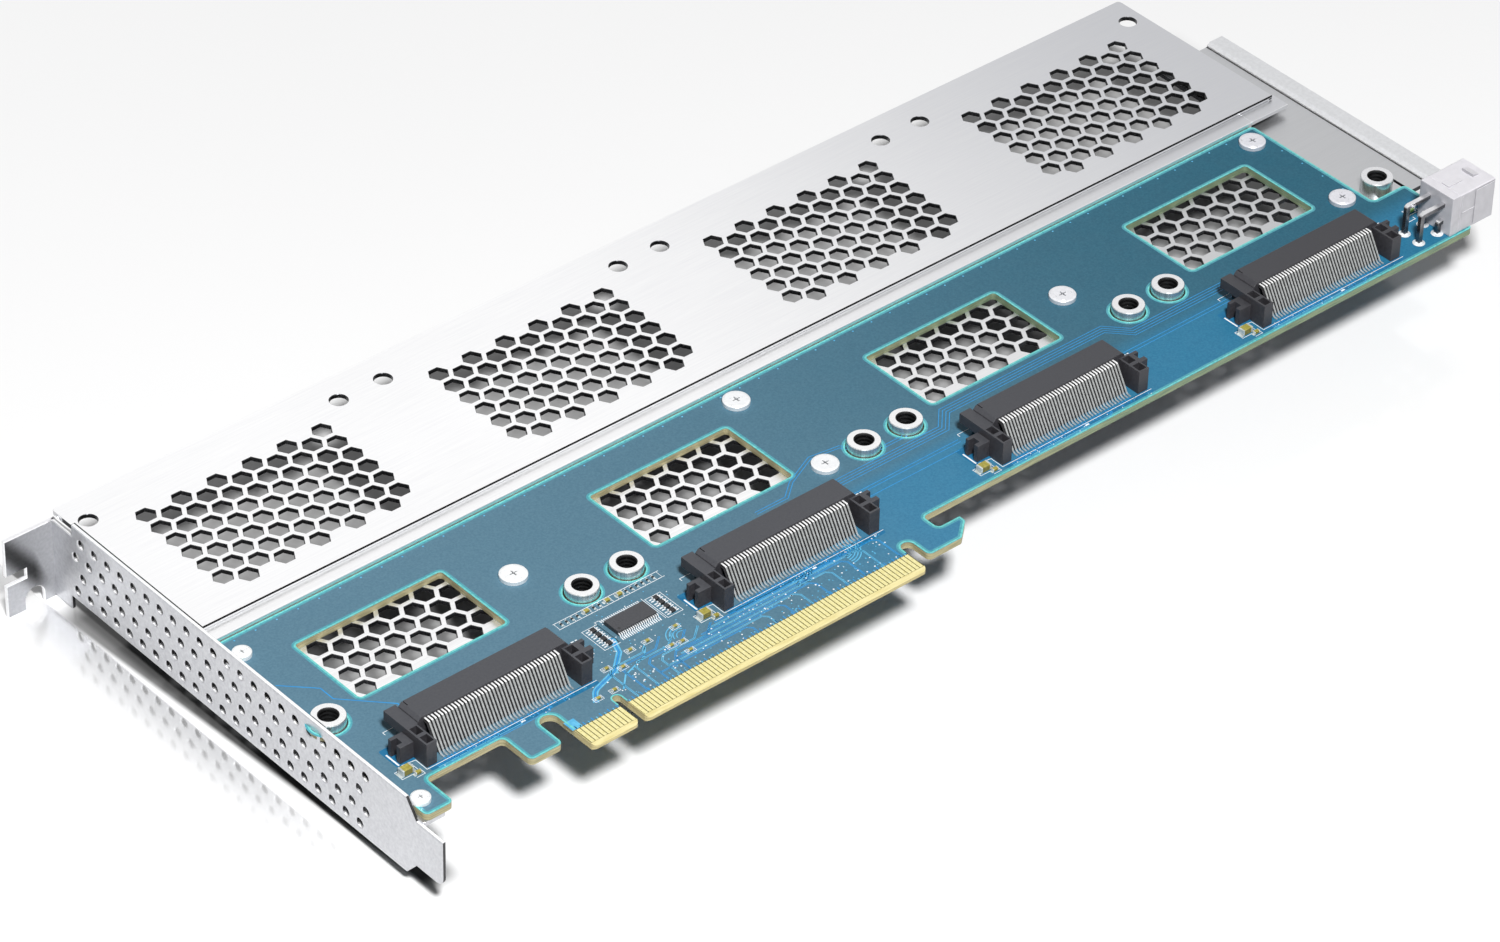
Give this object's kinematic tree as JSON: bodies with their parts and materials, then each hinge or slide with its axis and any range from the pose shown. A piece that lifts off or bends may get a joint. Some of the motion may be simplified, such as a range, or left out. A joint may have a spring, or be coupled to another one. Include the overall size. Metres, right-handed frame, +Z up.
{
  "type": "drive adapter card",
  "caption": "Full-length server adapter card that carries flat drives in a row on a perforated metal frame, with edge contacts and a slot bracket.",
  "frame": {"origin": "top centre of the first drive spacer, at the level where the drives sit", "axes": "+X along the card from the slot bracket to the far end, +Y from the edge contacts to the back edge of the deck, +Z up out of the board"},
  "size_m": [0.311, 0.1237, 0.03],
  "materials": {
    "board": "teal solder mask on glass laminate",
    "gold": "hard gold plate",
    "frame": "fine brushed bright sheet",
    "bracket": "satin sheet",
    "spacer": "turned",
    "screw": "plated",
    "socket": "moulded dark grey",
    "contact": "tin plate",
    "nylon": "natural nylon, slightly see-through",
    "chip": "moulded black",
    "capacitor": "ceramic, tinned ends"
  },
  "bodies": {
    "root": {"circuit_board": "board", "edge_contacts": "gold", "drive_deck": "frame", "base_plate": "frame", "slot_bracket": "bracket", "drive_spacers": "spacer", "board_screws": "screw", "bracket_screws": "screw", "drive_socket_1": "socket", "drive_socket_2": "socket", "drive_socket_3": "socket", "drive_socket_4": "socket", "socket_contacts_1": "contact", "socket_contacts_2": "contact", "socket_contacts_3": "contact", "socket_contacts_4": "contact", "power_socket": "nylon", "power_pins": "contact", "clock_chip": "chip", "resistor_arrays": "chip", "bulk_capacitors": "capacitor", "small_capacitors": "capacitor"}
  },
  "joints": []
}
